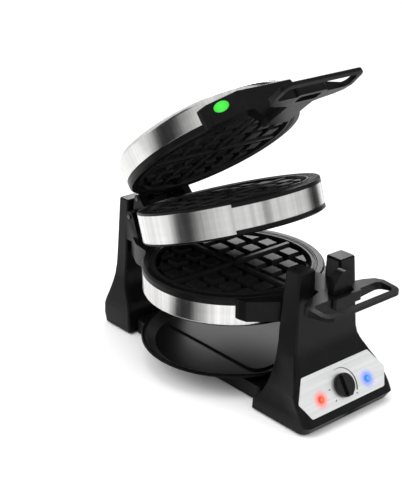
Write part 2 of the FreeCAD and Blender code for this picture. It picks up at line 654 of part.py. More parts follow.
# Lid hinge arms on a strap round the back of the lid cover
lid_low = 2 * FLIP_Z - lower_band_top
lid_high = 2 * FLIP_Z - lower_band_low
lid_arm_shape = [(arm_foot, lid_low + 1.5), (lid_y - 7, lid_low - 3), (lid_y - 4.6, lid_z - 3.4),
                 (lid_y, lid_z - KNUCKLE_R), (lid_y + 4.4, lid_z - 3.6), (lid_y + KNUCKLE_R, lid_z + 1),
                 (lid_y + 3.6, lid_z + 6), (arm_foot + 10, lid_high - 4), (arm_foot, lid_high - 3)]
lid_arms = [prism_x(lid_arm_shape, x0, x1) for x0, x1 in (LID_ARM_X, (-LID_ARM_X[1], -LID_ARM_X[0]))]
lid_strap = revolved([(RING_R + FIT, lid_low + 2), (RING_R + 3.0, lid_low + 2),
                      (RING_R + 3.0, lid_high - 4), (RING_R + FIT, lid_high - 4)], 44, 68)
lid_bracket = less(joined(lid_strap, *lid_arms), ring_room())
lid_bracket = less(lid_bracket, rod(PIN_R + RUN, 200, (-100, lid_y, lid_z), X_AXIS))
pieces["lid_hinge_arms"] = lid_bracket

pieces["lower_cover"] = cover()
pieces["lid_cover"] = over(cover())
pieces["middle_band"] = revolved([(RING_R - BAND_T, mid_low), (RING_R, mid_low), (RING_R, mid_high),
                                  (RING_R - BAND_T, mid_high)])


# Towers: rounded sections joined from the sole to the prong tops, hollow below the cradle
lean = math.radians(PANEL_LEAN)


def panel_y(z):
    return PANEL_FOOT[0] + (z - PANEL_FOOT[1]) * math.tan(lean)


def section_wire(z, far_half, near_half, near, far, radius):
    """A four-cornered section with arcs at its corners."""
    corners = [(far_half, far, radius), (near_half, near, NEAR_ROUND), (-near_half, near, NEAR_ROUND),
               (-far_half, far, radius)]
    arcs = []
    for i, (x, y, r) in enumerate(corners):
        at = V(x, y, z)
        before = V(*corners[i - 1][:2], z) - at
        after = V(*corners[(i + 1) % 4][:2], z) - at
        before.normalize()
        after.normalize()
        half_turn = before.getAngle(after) / 2
        middle = before + after
        middle.normalize()
        reach = r / math.tan(half_turn)
        arcs.append((at + before * reach, at + middle * (r / math.sin(half_turn) - r), at + after * reach))
    edges = []
    for i, (first, middle, last) in enumerate(arcs):
        edges.append(Part.Arc(first, middle, last).toShape())
        edges.append(Part.makeLine(last, arcs[(i + 1) % 4][0]))
    return Part.Wire(edges)


def placed(sections, side):
    """Sections whose stand-out from the ring is turned into places along Y on one side."""
    def at(out):
        return None if out is None else side * (RING_R + out)

    return [(z, far_half, near_half, at(near), at(far), radius)
            for z, far_half, near_half, near, far, radius in sections]


def tower(sections):
    """Outer skin, hollow and cradle groove of one tower."""
    full = [(z, fh, nh, n, panel_y(z) if f is None else f, r) for z, fh, nh, n, f, r in sections]
    outer = Part.makeLoft([section_wire(*row) for row in full], True, True)
    away = 1 if full[0][4] > full[0][3] else -1
    rows = []
    for (z, far_half, near_half, near, far, radius), raw in zip(full, sections):
        wall = TOWER_WALL / math.cos(lean) if raw[4] is None else TOWER_WALL
        if z < HOLLOW_TOP:
            rows.append((z, far_half - TOWER_WALL, near_half - TOWER_WALL, near + away * TOWER_WALL,
                         far - away * wall, max(radius - TOWER_WALL, 1.0)))
    rows[0] = (0.0,) + rows[0][1:]
    top = rows[-1]
    rows.append((HOLLOW_TOP, top[1] - 1.0, top[2] - 1.0) + top[3:])
    inner = Part.makeLoft([section_wire(*row) for row in rows], True, True)
    ys = [row[3] for row in full] + [row[4] for row in full]
    groove = joined(rod(SLOT_HALF, max(ys) - min(ys), (0, min(ys), FLIP_Z), Y_AXIS),
                    box(-SLOT_HALF, SLOT_HALF, min(ys), max(ys), FLIP_Z, PRONG_TOP + 5))
    return outer, inner, groove


front_sections = placed(FRONT_SECTIONS, -1)
rear_sections = placed(REAR_SECTIONS, 1)
front_outer, front_inner, front_groove = tower(front_sections)
rear_outer, rear_inner, rear_groove = tower(rear_sections)

# Control panel set into the leaning front of the tower
panel = FreeCAD.Placement(V(0, PANEL_AT[0], PANEL_AT[1]), FreeCAD.Rotation(X_AXIS, 90 - PANEL_LEAN))


def on_panel(shape):
    copy = shape.copy()
    copy.Placement = panel.multiply(copy.Placement)
    return copy


panel_n = V(0, -math.cos(lean), math.sin(lean))
skin = (V(0, PANEL_FOOT[0], PANEL_FOOT[1]) - V(0, PANEL_AT[0], PANEL_AT[1])).dot(panel_n)


def hex_block(grow, z0, z1):
    return eased(prism_z(inset(mirrored(PLATE_OUTLINE), -grow), z0, z1), PLATE_ROUND, upright)


recess = on_panel(hex_block(0.3, skin - PLATE_INLAY, skin + 20))
knob_x, knob_y = KNOB_AT
holes = [rod(SPINDLE_R + SPINDLE_PLAY, 30, (knob_x, knob_y, skin - 15), Z_AXIS)]
holes += [rod(LAMP_R + FIT, 30, (x, y, skin - 15), Z_AXIS) for x, y in LAMPS.values()]
panel_holes = [on_panel(h) for h in holes]
steel_top = skin - PLATE_INLAY + PLATE_STEEL_T
steel = hex_block(0, steel_top - PLATE_STEEL_T + FIT / 2, steel_top)
pieces["control_plate"] = on_panel(less(steel, *holes))
for lamp, (x, y) in LAMPS.items():
    dome = rod(LAMP_R, LAMP_DEPTH + LAMP_PROUD, (x, y, steel_top - LAMP_DEPTH), Z_AXIS)
    pieces[lamp] = on_panel(eased(dome, 1.0, lambda e: e.BoundBox.ZMin > steel_top + LAMP_PROUD - 0.01))
board_z = steel_top - LAMP_DEPTH - FIT
stat_x = (knob_x - STAT_HALF[0], knob_x + STAT_HALF[0])
stat_y = (knob_y - STAT_HALF[1], knob_y + STAT_HALF[1])
lamp_x = [x for x, y in LAMPS.values()]
board = box(min(lamp_x) - BOARD_EDGE, max(lamp_x) + BOARD_EDGE, stat_y[0] - BOARD_STRIP,
            knob_y + BOARD_EDGE, board_z - BOARD_T, board_z)
board = less(board, box(stat_x[0] - 1, stat_x[1] + 1, stat_y[0] - 1, stat_y[1] + 9,
                        board_z - 5, board_z + 5))
pieces["lamp_board"] = on_panel(board)
back_skin = skin - TOWER_WALL
stat = box(*stat_x, *stat_y, back_skin - STAT_DEPTH, back_skin - FIT)
spindle_top = steel_top + KNOB_H - GRIP_H
spindle = rod(SPINDLE_R, spindle_top - back_skin + 1, (knob_x, knob_y, back_skin - 1), Z_AXIS)
pieces["thermostat"] = on_panel(joined(stat, spindle))
knob_low = steel_top + KNOB_FLOAT
grip_top = knob_low + KNOB_H
knob = rod(KNOB_R, KNOB_H - GRIP_H, (knob_x, knob_y, knob_low), Z_AXIS)
knob = eased(knob, 1.2, lambda e: e.BoundBox.ZMin > grip_top - GRIP_H - 0.01)
grip_long = KNOB_R - 0.8
grip = rounded_block(knob_x - GRIP_W / 2, knob_x + GRIP_W / 2, knob_y - grip_long, knob_y + grip_long,
                     grip_top - GRIP_H - 2, grip_top, 2.4)
bore = rod(SPINDLE_R + RUN, spindle_top + 0.4 - steel_top + 5, (knob_x, knob_y, steel_top - 5), Z_AXIS)
pieces["control_knob"] = on_panel(less(joined(knob, grip), bore))

# Towers with cradle, panel and cord inlet
back_y = rear_sections[1][4]
cord_hole = rod(CORD_R + FIT, 40, (0, back_y - 20, CORD_Z), Y_AXIS)
front_tower = less(front_outer, front_inner, front_groove, recess, *panel_holes)
rear_tower = less(rear_outer, rear_inner, rear_groove, cord_hole)
pieces["front_tower"] = front_tower
pieces["rear_tower"] = rear_tower


# Bearing liners that line the two cradles
def u_shape(half, y0, y1, top):
    return joined(rod(half, y1 - y0, (0, y0, FLIP_Z), Y_AXIS), box(-half, half, y0, y1, FLIP_Z, top))


liner_out = SLOT_HALF - FIT
cradle = less(u_shape(liner_out, *LINER_Y, PRONG_TOP - LINER_DROP),
              u_shape(liner_out - LINER_T, LINER_Y[0] - 5, LINER_Y[1] + 5, PRONG_TOP + 5))
pieces["front_cradle_liner"] = cradle
bush = less(u_shape(liner_out, *BUSH_Y, PRONG_TOP - LINER_DROP),
            rod(TRUNNION_R + RUN, 40, (0, BUSH_Y[0] - 5, FLIP_Z), Y_AXIS))
pieces["rear_bush"] = bush

# Base spine, tray, sole plate, feet and screws
spine = rounded_block(-SPINE_HALF, SPINE_HALF, SPINE_FRONT, SPINE_BACK, SOLE_Z, SPINE_TOP, SPINE_ROUND)
spine_in = (SPINE_HALF - SPINE_WALL, SPINE_FRONT + SPINE_WALL, SPINE_BACK - SPINE_WALL)
hollow = rounded_block(-spine_in[0], *spine_in, 0, SPINE_TOP - SPINE_WALL, SPINE_ROUND - SPINE_WALL)
pieces["base_spine"] = less(spine, hollow)
lip = TRAY_R
dish = revolved([(0, TRAY_FLOOR_Z - TRAY_T), (TRAY_FLOOR_R, TRAY_FLOOR_Z - TRAY_T),
                 (lip - 5.5, TRAY_LIP_Z - 4.5), (lip - 4.5, TRAY_LIP_Z - 2),
                 (lip - 0.8, TRAY_LIP_Z - 3.4), (lip, TRAY_LIP_Z - 2.4),
                 (lip - 0.6, TRAY_LIP_Z - 0.8), (lip - 2.6, TRAY_LIP_Z), (lip - 5.4, TRAY_LIP_Z - 0.6),
                 (lip - 7.6, TRAY_LIP_Z - 2.6), (TRAY_FLOOR_R - 1, TRAY_FLOOR_Z), (0, TRAY_FLOOR_Z)])
plateau = rounded_block(-PLATEAU_HALF, PLATEAU_HALF, *PLATEAU_Y, TRAY_FLOOR_Z - 1,
                        TRAY_FLOOR_Z + PLATEAU_H, PLATEAU_ROUND)
plateau = eased(plateau, 1.2, lambda e: e.BoundBox.ZMin > TRAY_FLOOR_Z + PLATEAU_H - 0.01)
pieces["drip_tray"] = joined(dish, plateau)

# One sole plate ties both towers to the spine; screws run up into corner bosses
def corner_posts(half, y0, y1):
    reach = BOSS_POST_R - 0.6
    return [(sx * (half - reach), y) for sx in (-1, 1) for y in (y0 + reach, y1 - reach)]


front_foot = front_sections[0]
rear_foot = rear_sections[0]
front_in = (front_foot[1] - TOWER_WALL, front_foot[4] + TOWER_WALL, front_foot[3] - TOWER_WALL)
rear_in = (rear_foot[1] - TOWER_WALL, rear_foot[3] + TOWER_WALL, rear_foot[4] - TOWER_WALL)
sole_top = SOLE_Z + SOLE_T
parts_in = {"front_tower": (front_in, front_outer), "base_spine": (spine_in, spine),
            "rear_tower": (rear_in, rear_outer)}
sole_parts = []
screw_at = []
neck_half = spine_in[0] - SOLE_PLAY
doorway = box(-spine_in[0], spine_in[0], front_in[1] + 30, rear_in[2] - 30, 0, sole_top + SOLE_PLAY)
for name, ((half, y0, y1), skin_of) in parts_in.items():
    sole_parts.append(rounded_block(-half + SOLE_PLAY, half - SOLE_PLAY, y0 + SOLE_PLAY, y1 - SOLE_PLAY,
                                    SOLE_Z, sole_top, SOLE_ROUND))
    posts = corner_posts(half, y0, y1)
    screw_at += posts
    bosses = [rod(BOSS_POST_R, BOSS_POST_H, (x, y, sole_top), Z_AXIS).common(skin_of) for x, y in posts]
    pilots = [rod(SCREW_R + FIT / 2, SOLE_SCREW_L + 1, (x, y, sole_top - 1), Z_AXIS) for x, y in posts]
    pieces[name] = less(joined(pieces[name], *bosses), doorway, *pilots)
bridge = box(-neck_half, neck_half, front_in[1] + 32, rear_in[2] - 32, SOLE_Z, sole_top)
sole = joined(bridge, *sole_parts)
sole_holes = [rod(SCREW_R + SCREW_PLAY, 10, (x, y, SOLE_Z - 4), Z_AXIS) for x, y in screw_at]
vents = [box(x - VENT_W / 2, x + VENT_W / 2, y - VENT_L / 2, y + VENT_L / 2, 0, sole_top + 2)
         for x in range(-30, 31, 10) for y in VENT_Y]
pieces["sole_plate"] = less(sole, *(sole_holes + vents))
heads = []
for x, y in screw_at:
    head = rod(SCREW_HEAD_R, SOLE_HEAD_H, (x, y, SOLE_Z - SOLE_HEAD_H), Z_AXIS)
    heads.append(joined(head, rod(SCREW_R, SOLE_T + SOLE_SCREW_L, (x, y, SOLE_Z), Z_AXIS)))
pieces["sole_screws"] = Part.makeCompound(heads)
feet = []
for x, y in FOOT_AT:
    for side in (-1, 1):
        pad = rod(FOOT_R, SOLE_Z, (side * x, y, 0), Z_AXIS)
        feet.append(eased(pad, 0.8, lambda e: e.BoundBox.ZMax < 0.01))
pieces["rubber_feet"] = Part.makeCompound(feet)

# Gland for the mains lead, low on the back of the rear tower
gland = less(rod(CORD_R, GLAND_L, (0, back_y + GLAND_PROUD - GLAND_L, CORD_Z), Y_AXIS),
             rod(CORD_BORE, GLAND_L + 2, (0, back_y + GLAND_PROUD - GLAND_L - 1, CORD_Z), Y_AXIS))
pieces["cord_gland"] = eased(gland, 1.0, lambda e: e.BoundBox.YMin > back_y + GLAND_PROUD - 0.01
                             and e.BoundBox.XLength > 10)

# Move each body from the shut stack to the open pose it is shown in
MIDDLE = ["middle_band", "middle_upper_rim", "middle_lower_rim", "middle_upper_plate", "middle_lower_plate",
          "middle_heater", "middle_hinge_arm", "lid_hinge_pin"]
LID = ["lid_cover", "lid_rim", "lid_plate", "lid_heater", "lid_reflector", "lid_plate_screws",
       "lid_front_block", "lid_lens", "lid_handle", "lid_handle_screws", "lid_hinge_arms"]
for name in LID:
    pieces[name].rotate(V(0, lid_y, lid_z), X_AXIS, -LID_OPEN)
for name in LID + MIDDLE:
    pieces[name].rotate(V(0, mid_y, mid_z), X_AXIS, -MID_OPEN)

# Set the origin under the middle of the length, from the lower grip bar to the cord gland
middle_of_length = (back_y + GLAND_PROUD - HANDLE_FRONT) / 2
for shape in pieces.values():
    shape.translate(V(0, -middle_of_length, 0))

os.makedirs("parts", exist_ok=True)
for name, shape in pieces.items():
    print(name, shape.isValid(), len(shape.Solids), round(shape.Volume))
    shape.exportStep("parts/" + name + ".step")
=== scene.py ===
import json
import math
from functools import partial

import bmesh
import bpy
from bpy.props import FloatProperty, FloatVectorProperty, PointerProperty
from mathutils import Matrix, Vector


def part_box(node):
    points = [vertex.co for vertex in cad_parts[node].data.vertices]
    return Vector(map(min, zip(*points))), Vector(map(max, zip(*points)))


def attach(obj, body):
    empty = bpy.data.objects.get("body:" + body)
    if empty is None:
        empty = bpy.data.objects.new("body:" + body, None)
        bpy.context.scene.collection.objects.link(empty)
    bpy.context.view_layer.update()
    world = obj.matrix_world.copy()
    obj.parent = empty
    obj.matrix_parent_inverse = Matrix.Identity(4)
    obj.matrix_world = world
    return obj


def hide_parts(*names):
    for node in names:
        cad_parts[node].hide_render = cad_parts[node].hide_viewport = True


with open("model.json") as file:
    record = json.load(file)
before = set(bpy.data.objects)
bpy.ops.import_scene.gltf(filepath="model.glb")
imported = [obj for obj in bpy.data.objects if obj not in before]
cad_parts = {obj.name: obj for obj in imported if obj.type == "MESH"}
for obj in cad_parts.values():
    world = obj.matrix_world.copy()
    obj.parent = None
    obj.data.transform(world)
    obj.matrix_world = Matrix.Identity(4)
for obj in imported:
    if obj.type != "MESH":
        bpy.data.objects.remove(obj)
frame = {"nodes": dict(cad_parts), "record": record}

bl_info = {
    "name": "Flip Waffle Maker",
    "version": (1, 0, 0),
    "blender": (4, 5, 0),
    "location": "3D View > Sidebar > Waffle Maker",
    "description": "Dresses the flip-over waffle maker: plastics, steel bands, plates, panel and stage",
    "category": "Object",
}

BEHAVIOUR = frame["record"]["behaviour"]
NODES = frame["nodes"]
JOINTS = {joint["name"]: joint for joint in BEHAVIOUR["joints"]}
BODY_OF = {node: body for body, nodes in BEHAVIOUR["bodies"].items() for node in nodes}
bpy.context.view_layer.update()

# How a copied node is cleaned: the reach within which points merge, and angles in degrees
WELD = 0.000004
FLAT_ANGLE = 0.4
HARD_ANGLE = 34.0
CREASE_ANGLE = 30.0
SMOOTH_ANGLE = 40.0

# Depth over which the brushing turns from round the band to straight across a cover's closed end, and over
# which the painted shade that darkens that end sets in
END_DEPTH = 0.0022

# Places in a loop handle: reach from its middle, depth behind the grip's front, and height under the axle
BOSS_REACH = 0.023
BOSS_BLEND = 0.010
GRIP_DEPTH = 0.022
GRIP_BLEND = 0.006
UNDERSIDE = 0.006
WINDOW_REACH = (0.026, 0.0482)
WINDOW_DEPTH = (0.0082, 0.034)
WINDOW_MIDDLE = 0.019

# How deep each handle's bars are thinned, and the last stretch of that, over which it fades
THINNING = {"lower_handle": (0.036, 0.022), "lid_handle": (0.044, 0.006)}

# Printed marks of the dial: angles in degrees from the right, and half widths as shares of the arc's width
ARC_START = 105
ARC_END = -32
ARC_STEPS = 40
ARC_THIN = 0.08
ARC_THICK = 0.50
TICKS = (-145, 175, -42)
MARK_LIFT = 0.00008

# Lamps: where a lens reaches its edge tint, and how the glow lies on the panel
LENS_REACH = 0.0042
LID_LENS_REACH = 0.011
GLOW_SIDES = 48
GLOW_LIFT = 0.0001

# Camera and floor
CAMERA_AIM = Vector((0.0, 0.06855, 0.1155))
SENSOR_HEIGHT = 36.0
VIEW_END = 50.0
FLOOR_HALF = 4.0

# Lights: azimuth and elevation in degrees, distance and size in metres, power in watts
LIGHTS = {
    "key": (-100, 38, 1.9, 1.3, 15.0),
    "fill": (30, 34, 1.9, 0.9, 8.0),
    "top": (-30, 82, 1.6, 1.2, 8.0),
    "rim": (139, 26, 1.5, 0.7, 9.5),
}
LIGHT_AIM = Vector((0, 0.02, 0.15))

# Dark cards: height of the wall, first and last angle from the camera's side, and the soft ends, in degrees
CARDS = {
    "card_left": (2.8, -78, -21, 13, 28),
    "card_slit": (2.8, 37, 50, 5, 8),
    "card_right": (2.8, 99, 140, 14, 10),
    "card_back": (0.5, 152, 208, 10, 10),
}
CARD_NEAR = 0.16
CARD_FAR = 1.7
CARD_LIFT = 0.0006
CARD_STEPS = 12


def colour(name, description, default):
    return FloatVectorProperty(name=name, description=description, default=default, subtype="COLOR",
                               size=3, min=0.0, max=1.0)


def length(name, description, default):
    return FloatProperty(name=name, description=description, default=default, unit="LENGTH", precision=5)


class WAFFLE_PG_finish(bpy.types.PropertyGroup):
    """Colours of the finishes."""
    plastic: colour("Black plastic", "Moulded towers, rims, blocks and handles", (0.0034, 0.0034, 0.0037))
    plastic_pale: colour("Worn plastic", "Where handling has dulled the plastic", (0.0085, 0.0085, 0.009))
    tray: colour("Tray", "Smooth drip tray", (0.0030, 0.0030, 0.0034))
    steel: colour("Steel bands", "Brushed stainless covers and band", (0.83, 0.825, 0.815))
    panel: colour("Panel steel", "Pale brushed plate behind the dial", (0.78, 0.785, 0.79))
    plate: colour("Non-stick", "Coating of the waffle plates", (0.0085, 0.0085, 0.009))
    fleck: colour("Fleck", "Fine specks in the coating of the plates", (0.10, 0.10, 0.10))
    knob: colour("Dial", "Glossy dial", (0.003, 0.003, 0.0033))
    knob_pale: colour("Wiped dial", "Where wiping has dulled the dial", (0.006, 0.006, 0.0065))
    mark: colour("Dial marks", "Printed arc and ticks", (0.02, 0.02, 0.022))
    red: colour("Power lamp", "Lit red lamp", (0.92, 0.028, 0.016))
    red_core: colour("Power lamp core", "Hot middle of the red lamp", (1.0, 0.30, 0.10))
    blue: colour("Ready lamp", "Lit blue lamp", (0.012, 0.14, 0.92))
    blue_core: colour("Ready lamp core", "Hot middle of the blue lamp", (0.16, 0.66, 1.0))
    green: colour("Lid lamp", "Lit green lamp", (0.012, 0.82, 0.028))
    green_core: colour("Lid lamp core", "Hot middle of the green lamp", (0.10, 1.0, 0.10))
    floor: colour("Floor", "Pale floor under the maker", (0.97, 0.97, 0.97))


class WAFFLE_PG_size(bpy.types.PropertyGroup):
    """Sizes that only the dressing uses."""
    edge: length("Edge", "Rounding of moulded edges", 0.0008)
    fine_edge: length("Fine edge", "Rounding of sheet metal, rims and small pieces", 0.0004)
    grip_edge: length("Grip edge", "Rounding of the loop handles", 0.00112)
    latch_edge: length("Latch edge", "Rounding of the latch", 0.00128)
    lens_edge: length("Lens edge", "Rounding of the lamps' lenses", 0.0003)
    arc_radius: length("Arc radius", "Printed arc round the dial", 0.0190)
    arc_width: length("Arc width", "Printed arc at its thick end", 0.0019)
    tick_length: length("Tick length", "Printed ticks round the dial", 0.0026)
    tick_width: length("Tick width", "Printed ticks round the dial", 0.0010)
    tick_out: length("Tick place", "How far outside the arc's line the ticks are centred", 0.0009)
    glow: length("Glow", "Reach of the lamps' light on the panel", 0.0110)
    bar_lift: length("Bar lift", "How much slimmer the grip bar is than the boss of the latch", 0.0050)
    bar_trim: length("Bar trim", "How much the handles' windows cut into the bars", 0.0033)


def finishes():
    return bpy.context.scene.waffle_finish


def sizes():
    return bpy.context.scene.waffle_size


def portion(value, span):
    """0 to 1 as a value grows from nothing to its span."""
    return min(max(value / span, 0.0), 1.0)


def darker(tint, share):
    return tuple(channel * share for channel in tint)


def shut_lid():
    """The turn that brings the lid from its open pose down onto the lower housing."""
    whole = Matrix()
    for name in ("lid_hinge", "middle_hinge"):
        pin = Matrix.Translation(JOINTS[name]["pos_m"])
        turn = Matrix.Rotation(math.radians(JOINTS[name]["range_deg"][1]), 4, "X")
        whole = pin @ turn @ pin.inverted() @ whole
    return whole


class Value:
    """A shader socket that takes part in Python sums."""

    def __init__(self, finish, socket):
        self.finish = finish
        self.socket = socket

    def math(self, operation, *terms):
        node = self.finish.node("ShaderNodeMath", {"operation": operation}, dict(enumerate(terms)))
        return Value(self.finish, node.outputs[0])

    def __add__(self, other):
        return self.math("ADD", self, other)

    def __radd__(self, other):
        return self.math("ADD", other, self)

    def __sub__(self, other):
        return self.math("SUBTRACT", self, other)

    def __rsub__(self, other):
        return self.math("SUBTRACT", other, self)

    def __mul__(self, other):
        return self.math("MULTIPLY", self, other)

    def __rmul__(self, other):
        return self.math("MULTIPLY", other, self)

    def __truediv__(self, other):
        return self.math("DIVIDE", self, other)

    def __rtruediv__(self, other):
        return self.math("DIVIDE", other, self)

    def __pow__(self, other):
        return self.math("POWER", self, other)

    def __rpow__(self, other):
        return self.math("POWER", other, self)

    def __abs__(self):
        return self.math("ABSOLUTE", self)

    def lesser(self, other):
        return self.math("MINIMUM", self, other)

    def angle_over(self, other):
        return self.math("ARCTAN2", self, other)

    def clamped(self):
        node = self.finish.node("ShaderNodeClamp", {}, {"Value": self})
        return Value(self.finish, node.outputs[0])


class Finish:
    """One material: a Principled shader and the nodes that feed it."""

    def __init__(self, name, **constants):
        self.material = bpy.data.materials.new(name)
        self.material.use_nodes = True
        self.tree = self.material.node_tree
        self.tree.nodes.clear()
        output = self.tree.nodes.new("ShaderNodeOutputMaterial")
        self.shader = self.node("ShaderNodeBsdfPrincipled", {}, constants)
        self.link(self.shader.outputs[0], output.inputs[0])

    def link(self, source, target):
        self.tree.links.new(source, target)

    def node(self, kind, settings, inputs):
        node = self.tree.nodes.new(kind)
        for key, value in settings.items():
            setattr(node, key, value)
        for key, value in inputs.items():
            self.feed(node.inputs[key], value)
        return node

    def feed(self, socket, value):
        if isinstance(value, Value):
            self.link(value.socket, socket)
        elif isinstance(value, bpy.types.NodeSocket):
            self.link(value, socket)
        elif socket.type == "RGBA" and len(value) == 3:
            socket.default_value = (*value, 1.0)
        else:
            socket.default_value = value

    def place(self, scale=(1, 1, 1), turn=(0, 0, 0)):
        """Object coordinates, turned and scaled for a pattern."""
        coords = self.node("ShaderNodeTexCoord", {}, {})
        mapping = self.node("ShaderNodeMapping", {"vector_type": "TEXTURE"},
                            {"Vector": coords.outputs["Object"], "Rotation": turn})
        stretch = self.node("ShaderNodeVectorMath", {"operation": "MULTIPLY"},
                            {0: mapping.outputs[0], 1: scale})
        return stretch.outputs[0]

    def axis(self, letter, turn):
        """One of the turned Object coordinates."""
        axes = self.node("ShaderNodeSeparateXYZ", {}, {0: self.place(turn=turn)})
        return Value(self, axes.outputs[letter])

    def distance(self, centre):
        """How far a point of the surface is from a centre."""
        node = self.node("ShaderNodeVectorMath", {"operation": "DISTANCE"}, {0: self.place(), 1: centre})
        return Value(self, node.outputs["Value"])

    def noise(self, fineness, detail=2.0, rough=0.5, **where):
        node = self.node("ShaderNodeTexNoise", {},
                         {"Vector": self.place(**where), "Scale": fineness, "Detail": detail,
                          "Roughness": rough})
        return Value(self, node.outputs[0])

    def mix(self, factor, first, second):
        node = self.node("ShaderNodeMix", {"data_type": "RGBA"}, {0: factor, 6: first, 7: second})
        return node.outputs[2]

    def bump(self, height, strength, distance):
        node = self.node("ShaderNodeBump", {},
                         {"Height": height, "Strength": strength, "Distance": distance})
        self.link(node.outputs[0], self.shader.inputs["Normal"])

    def set(self, **inputs):
        for key, value in inputs.items():
            self.feed(self.shader.inputs[key.replace("_", " ")], value)


def plastic_finish():
    """Satin moulded plastic, made once: fine grain, soft cloudy sheen, dulled by handling."""
    made = bpy.data.materials.get("satin_moulding")
    if made:
        return made
    finish = Finish("satin_moulding", **{"Specular IOR Level": 0.10})
    cloud = finish.noise(22.0, 3.0)
    grain = finish.noise(2600.0, 2.0)
    worn = ((finish.noise(60.0, 4.0) - 0.52) * 4.0).clamped()
    fresh, pale = tuple(finishes().plastic), tuple(finishes().plastic_pale)
    finish.set(Base_Color=finish.mix(worn * 0.55, fresh, pale),
               Roughness=0.27 + cloud * 0.12 + worn * 0.06)
    finish.bump(grain, 0.10, 0.00012)
    return finish.material


def tray_finish():
    """Smooth satin tray with faint flow marks and wiping streaks."""
    finish = Finish("tray_plastic", **{"Specular IOR Level": 0.05})
    flow = finish.noise(14.0, 3.0, scale=(1, 0.25, 1))
    wipe = finish.noise(90.0, 2.0, scale=(1, 0.1, 1))
    finish.set(Base_Color=finish.mix(flow * 0.6, tuple(finishes().tray), tuple(finishes().plastic)),
               Roughness=0.24 + flow * 0.10 + wipe * 0.04)
    finish.bump(finish.noise(1800.0), 0.06, 0.0001)
    return finish.material


def steel_finish(name, tilt, dome):
    """Brushed stainless sheet: round the band, and straight across a closed end at height `dome`. That end's
    tone is also set darker than the band's, as painted shade on its upward face.
    """
    finish = Finish(name, Metallic=1.0, Anisotropic=0.5 if dome is None else 0.0)
    turn = (tilt, 0, 0)
    streak = finish.noise(1.0, 3.0, 0.6, scale=(14, 14, 2600), turn=turn)
    broad = finish.noise(1.0, 2.0, 0.5, scale=(9, 9, 160), turn=turn)
    smear = finish.noise(1.0, 3.0, 0.6, scale=(210, 210, 2), turn=turn)
    blend = (smear - 0.35) * 1.5 + (streak + broad - 1.0) * 0.4
    if dome is not None:
        end = (1.0 - abs(finish.axis("Z", turn) - dome) / END_DEPTH).clamped()
        across = finish.noise(1.0, 4.0, 0.62, scale=(5, 420, 5), turn=turn)
        # Closed end: the streaks run straight across, and the tone sits lower than on the band. That lower
        # tone is painted shade, which keeps the upward face from mirroring the white world at full strength.
        blend = blend * (1.0 - end) + ((across - 0.5) * 2.4 + 0.1) * end
    steel = tuple(finishes().steel)
    finish.set(Base_Color=finish.mix(blend.clamped(), darker(steel, 0.62), steel),
               Roughness=0.10 + streak * 0.09 + smear * 0.05)
    finish.bump(streak, 0.03, 0.00005)
    return finish.material


def panel_finish():
    """Pale plate brushed from side to side."""
    finish = Finish("panel_steel", Metallic=0.7)
    streak = finish.noise(1.0, 4.0, 0.6, scale=(22, 900, 900))
    broad = finish.noise(1.0, 3.0, 0.6, scale=(9, 330, 330))
    brushed = ((broad - 0.34) * 2.2 + (streak - 0.5) * 0.5).clamped()
    pale = tuple(finishes().panel)
    finish.set(Base_Color=finish.mix(brushed, darker(pale, 0.84), pale), Roughness=0.34 + streak * 0.12)
    finish.bump(streak, 0.07, 0.00008)
    return finish.material


def knob_finish():
    """Glossy dial with faint wiping marks."""
    finish = Finish("dial_gloss", **{"Specular IOR Level": 0.2})
    wiped = finish.noise(300.0, 3.0)
    finish.set(Base_Color=finish.mix(wiped, tuple(finishes().knob), tuple(finishes().knob_pale)),
               Roughness=0.16 + wiped * 0.1)
    return finish.material


def coating_finish():
    """Dark non-stick coat: slight orange peel and fine pale flecks."""
    finish = Finish("nonstick_coat", **{"Specular IOR Level": 0.2})
    peel = finish.noise(420.0, 3.0)
    fleck = ((finish.noise(1500.0, 1.0) - 0.68) * 9.0).clamped()
    finish.set(Base_Color=finish.mix(fleck * 0.35, tuple(finishes().plate), tuple(finishes().fleck)),
               Roughness=0.36 + peel * 0.14)
    finish.bump(peel, 0.12, 0.0002)
    return finish.material


def metal_finish(name, tint, rough):
    """Plain metal of an inner piece or a fastener, with mottled wear."""
    finish = Finish(name, Metallic=1.0)
    wear = finish.noise(160.0, 4.0)
    finish.set(Base_Color=finish.mix(wear * 0.6, tint, darker(tint, 0.7)), Roughness=rough + wear * 0.15)
    finish.bump(finish.noise(900.0), 0.06, 0.0001)
    return finish.material


def dull_finish(name, tint, rough):
    """Rubber, board, ink or moulded inner piece with a fine mottled surface."""
    finish = Finish(name, IOR=1.45)
    mottle = finish.noise(240.0, 4.0)
    finish.set(Base_Color=finish.mix(mottle * 0.5, tint, darker(tint, 0.65)),
               Roughness=rough + mottle * 0.12)
    finish.bump(finish.noise(1400.0), 0.15, 0.0002)
    return finish.material


def lamp_finish(name, tint, core, centre, reach):
    """A lit lens: a pale hot core that falls off to a deeper tint at the edge."""
    finish = Finish(name, Roughness=0.18, **{"Specular IOR Level": 0.3})
    edge = (finish.distance(centre) / reach).clamped() ** 1.6
    finish.set(Base_Color=darker(tint, 0.1), Emission_Color=finish.mix(edge, core, darker(tint, 0.62)),
               Emission_Strength=0.9)
    return finish.material


def glow_finish(name, tint, centre, reach):
    """Light spilled on the panel round a lamp, fading outwards."""
    finish = Finish(name, Roughness=0.6)
    near = (1.0 - finish.distance(centre) / reach).clamped()
    finish.set(Base_Color=tint, Emission_Color=tint, Emission_Strength=0.8, Alpha=(near ** 1.15) * 0.75)
    return finish.material


def dress(node, material):
    """A CAD node keeps its shape and takes a finish."""
    slots = NODES[node].data.materials
    slots.clear()
    slots.append(material)


def smooth_mesh(mesh):
    """Soft shading that breaks at sharp edges, without the normals that came with a copied node."""
    normals = mesh.attributes.get("custom_normal")
    if normals:
        mesh.attributes.remove(normals)
    for polygon in mesh.polygons:
        polygon.use_smooth = True
    mesh.set_sharp_from_angle(angle=math.radians(SMOOTH_ANGLE))


